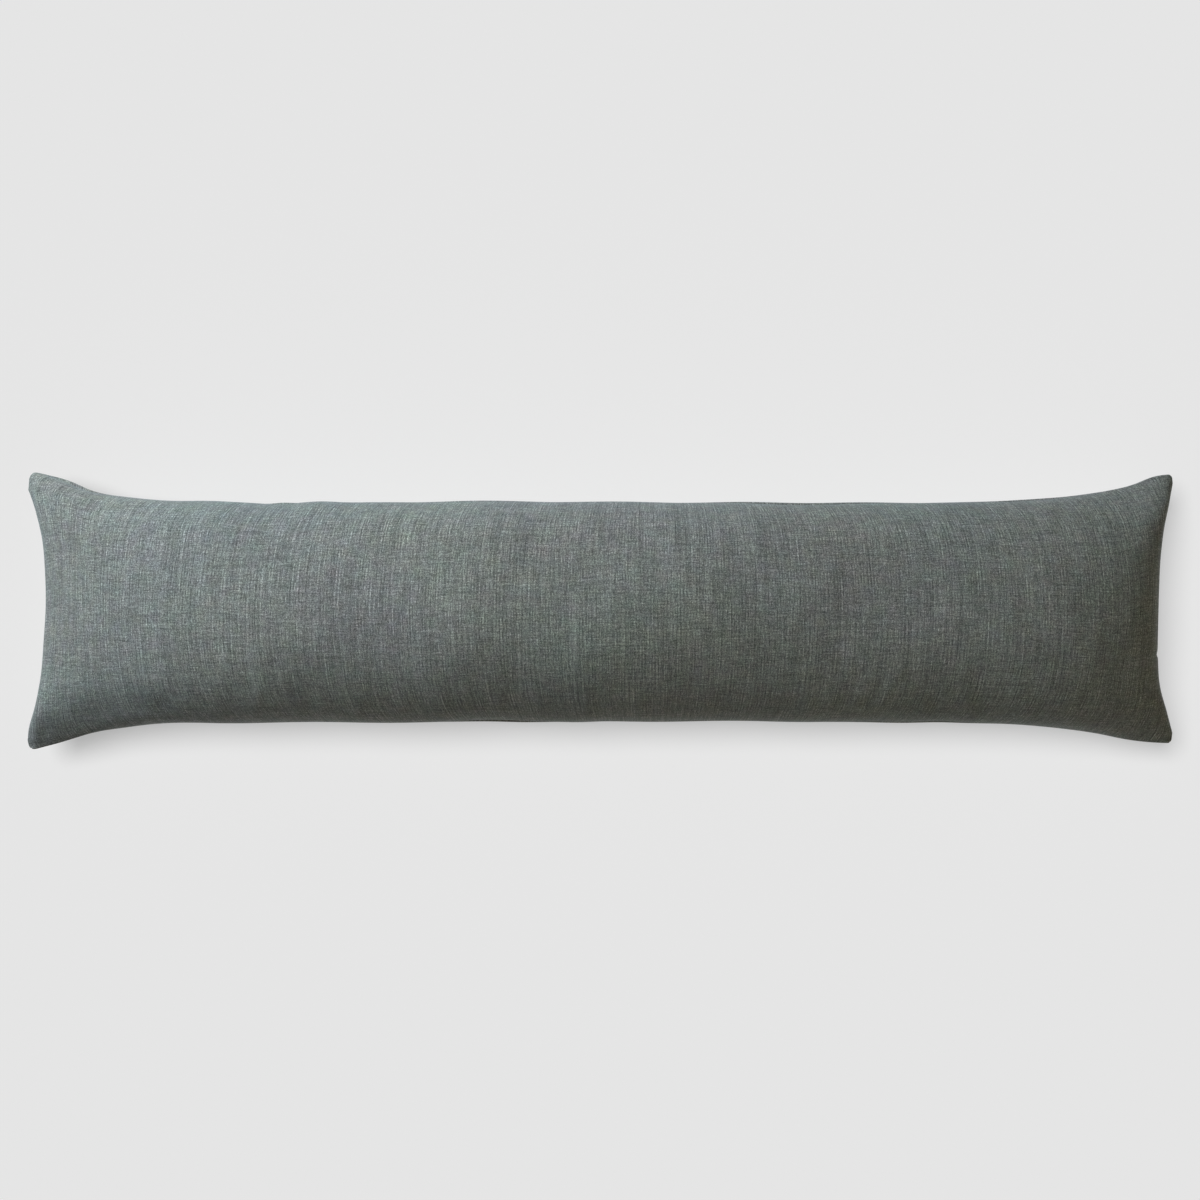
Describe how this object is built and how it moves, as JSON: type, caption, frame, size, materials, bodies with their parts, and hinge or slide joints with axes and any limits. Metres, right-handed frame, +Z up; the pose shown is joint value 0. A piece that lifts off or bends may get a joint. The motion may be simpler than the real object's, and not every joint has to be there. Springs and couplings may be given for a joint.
{
  "type": "lumbar pillow",
  "caption": "Long soft pillow of two sewn cloth panels with a knife-edge seam, drawn-in sides and small corner ears, lying on its back.",
  "frame": {"origin": "middle of the flat underside, under the centre of the pillow's box", "axes": "+X along the pillow, +Y towards its far long seam, +Z up through the crown"},
  "size_m": [1.195, 0.2882, 0.1492],
  "materials": {
    "cover_cloth": "matt plain weave of uneven slubby yarn, greyed green"
  },
  "bodies": {
    "root": {"pillow": "cover_cloth"}
  },
  "joints": []
}
